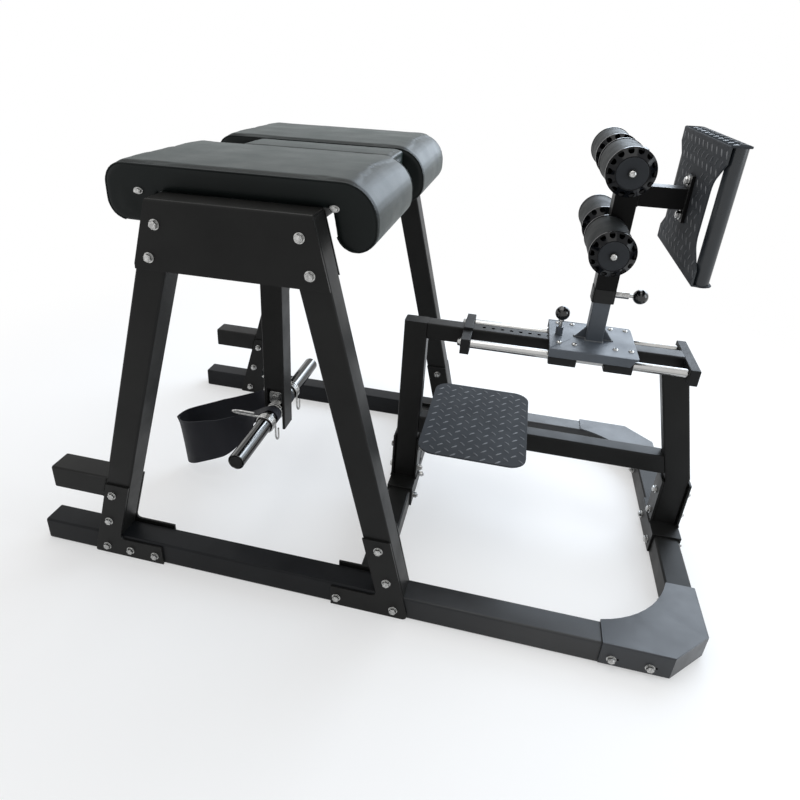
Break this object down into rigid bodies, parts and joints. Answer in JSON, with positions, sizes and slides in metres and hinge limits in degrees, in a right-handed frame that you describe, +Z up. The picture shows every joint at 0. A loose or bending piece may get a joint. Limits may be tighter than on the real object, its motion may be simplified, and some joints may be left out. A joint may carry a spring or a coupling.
{
  "type": "glute ham developer",
  "caption": "Floor-standing back extension bench: split hip pad on a splayed steel tower over a swinging weighted leg curl, with a sliding ankle roller and footplate mast.",
  "frame": {"origin": "centre of the footprint on the floor", "axes": "+X from the hip pads towards the footplate, +Y across to the far side, +Z up"},
  "size_m": [1.8214, 1.0826, 1.19],
  "materials": {
    "coat": "satin black powder coat",
    "hide": "black grained upholstery",
    "chrome": "bright plated steel",
    "wood": "bare plywood",
    "tread": "textured dark grey tread",
    "webbing": "woven black nylon",
    "plastic": "black moulded",
    "foam": "dense black foam"
  },
  "bodies": {
    "frame": {"near_base_rail": "coat", "far_base_rail": "coat", "front_cross_tube": "coat", "rear_cross_tube": "coat", "near_corner_plate": "coat", "far_corner_plate": "coat", "near_left_leg": "coat", "far_left_leg": "coat", "near_right_leg": "coat", "far_right_leg": "coat", "near_left_outer_gusset": "coat", "far_left_outer_gusset": "coat", "near_left_inner_gusset": "coat", "far_left_inner_gusset": "coat", "near_right_outer_gusset": "coat", "far_right_outer_gusset": "coat", "near_right_inner_gusset": "coat", "far_right_inner_gusset": "coat", "near_outer_side_plate": "coat", "far_outer_side_plate": "coat", "near_inner_side_plate": "coat", "far_inner_side_plate": "coat", "left_pad_support": "coat", "right_pad_support": "coat", "near_pad": "hide", "far_pad": "hide", "near_pad_board": "wood", "far_pad_board": "wood", "centre_pad": "hide", "pivot_shaft": "chrome", "front_foot_bracket": "coat", "rear_foot_bracket": "coat", "front_post": "coat", "rear_post": "coat", "upper_beam": "coat", "lower_beam": "coat", "step_plate": "tread", "left_rod_bracket": "coat", "right_rod_bracket": "coat", "near_guide_rod": "chrome", "far_guide_rod": "chrome"},
    "pendulum": {"pendulum_arm": "coat", "weight_sleeve": "chrome"},
    "strap": {"ankle_strap": "webbing"},
    "near_collar": {"near_spring_collar": "chrome"},
    "far_collar": {"far_spring_collar": "chrome"},
    "carriage": {"carriage_frame": "coat", "near_left_bearing_block": "coat", "far_left_bearing_block": "coat", "near_right_bearing_block": "coat", "far_right_bearing_block": "coat"},
    "carriage_pin": {"carriage_pull_pin": "plastic"},
    "mast": {"roller_mast": "coat", "footplate": "tread"},
    "mast_pin": {"mast_pull_pin": "plastic"},
    "near_upper_roll": {"near_upper_roller": "foam"},
    "far_upper_roll": {"far_upper_roller": "foam"},
    "near_lower_roll": {"near_lower_roller": "foam"},
    "far_lower_roll": {"far_lower_roller": "foam"}
  },
  "joints": [
    {"name": "pendulum_swing", "type": "hinge", "parent": "frame", "child": "pendulum", "pos_m": [-0.39665, 0, 0.95], "axis": [0, 1, 0], "range_deg": [-27, 85]},
    {"name": "strap_swing", "type": "hinge", "parent": "pendulum", "child": "strap", "pos_m": [-0.39665, 0, 0.245], "axis": [0, 1, 0], "range_deg": [-5, 35]},
    {"name": "near_collar_slide", "type": "slide", "parent": "pendulum", "child": "near_collar", "axis": [0, -1, 0], "range_m": [0, 0.25]},
    {"name": "far_collar_slide", "type": "slide", "parent": "pendulum", "child": "far_collar", "axis": [0, 1, 0], "range_m": [0, 0.25]},
    {"name": "carriage_slide", "type": "slide", "parent": "frame", "child": "carriage", "axis": [1, 0, 0], "range_m": [-0.208, 0.104]},
    {"name": "carriage_pin_pull", "type": "slide", "parent": "carriage", "child": "carriage_pin", "axis": [0, 0, 1], "range_m": [-0.016, 0.004], "stiffness_N_per_m": 400, "springref_m": -0.016},
    {"name": "mast_slide", "type": "slide", "parent": "carriage", "child": "mast", "axis": [0, 0, 1], "range_m": [-0.05, 0.125]},
    {"name": "mast_pin_pull", "type": "slide", "parent": "mast", "child": "mast_pin", "axis": [1, 0, 0], "range_m": [-0.009, 0.006], "stiffness_N_per_m": 400, "springref_m": -0.009},
    {"name": "near_upper_roll_spin", "type": "hinge", "parent": "mast", "child": "near_upper_roll", "pos_m": [0.52085, -0.135, 1.122], "axis": [0, 1, 0], "continuous": true},
    {"name": "far_upper_roll_spin", "type": "hinge", "parent": "mast", "child": "far_upper_roll", "pos_m": [0.52085, 0.135, 1.122], "axis": [0, 1, 0], "continuous": true},
    {"name": "near_lower_roll_spin", "type": "hinge", "parent": "mast", "child": "near_lower_roll", "pos_m": [0.52085, -0.135, 0.941], "axis": [0, 1, 0], "continuous": true},
    {"name": "far_lower_roll_spin", "type": "hinge", "parent": "mast", "child": "far_lower_roll", "pos_m": [0.52085, 0.135, 0.941], "axis": [0, 1, 0], "continuous": true}
  ]
}
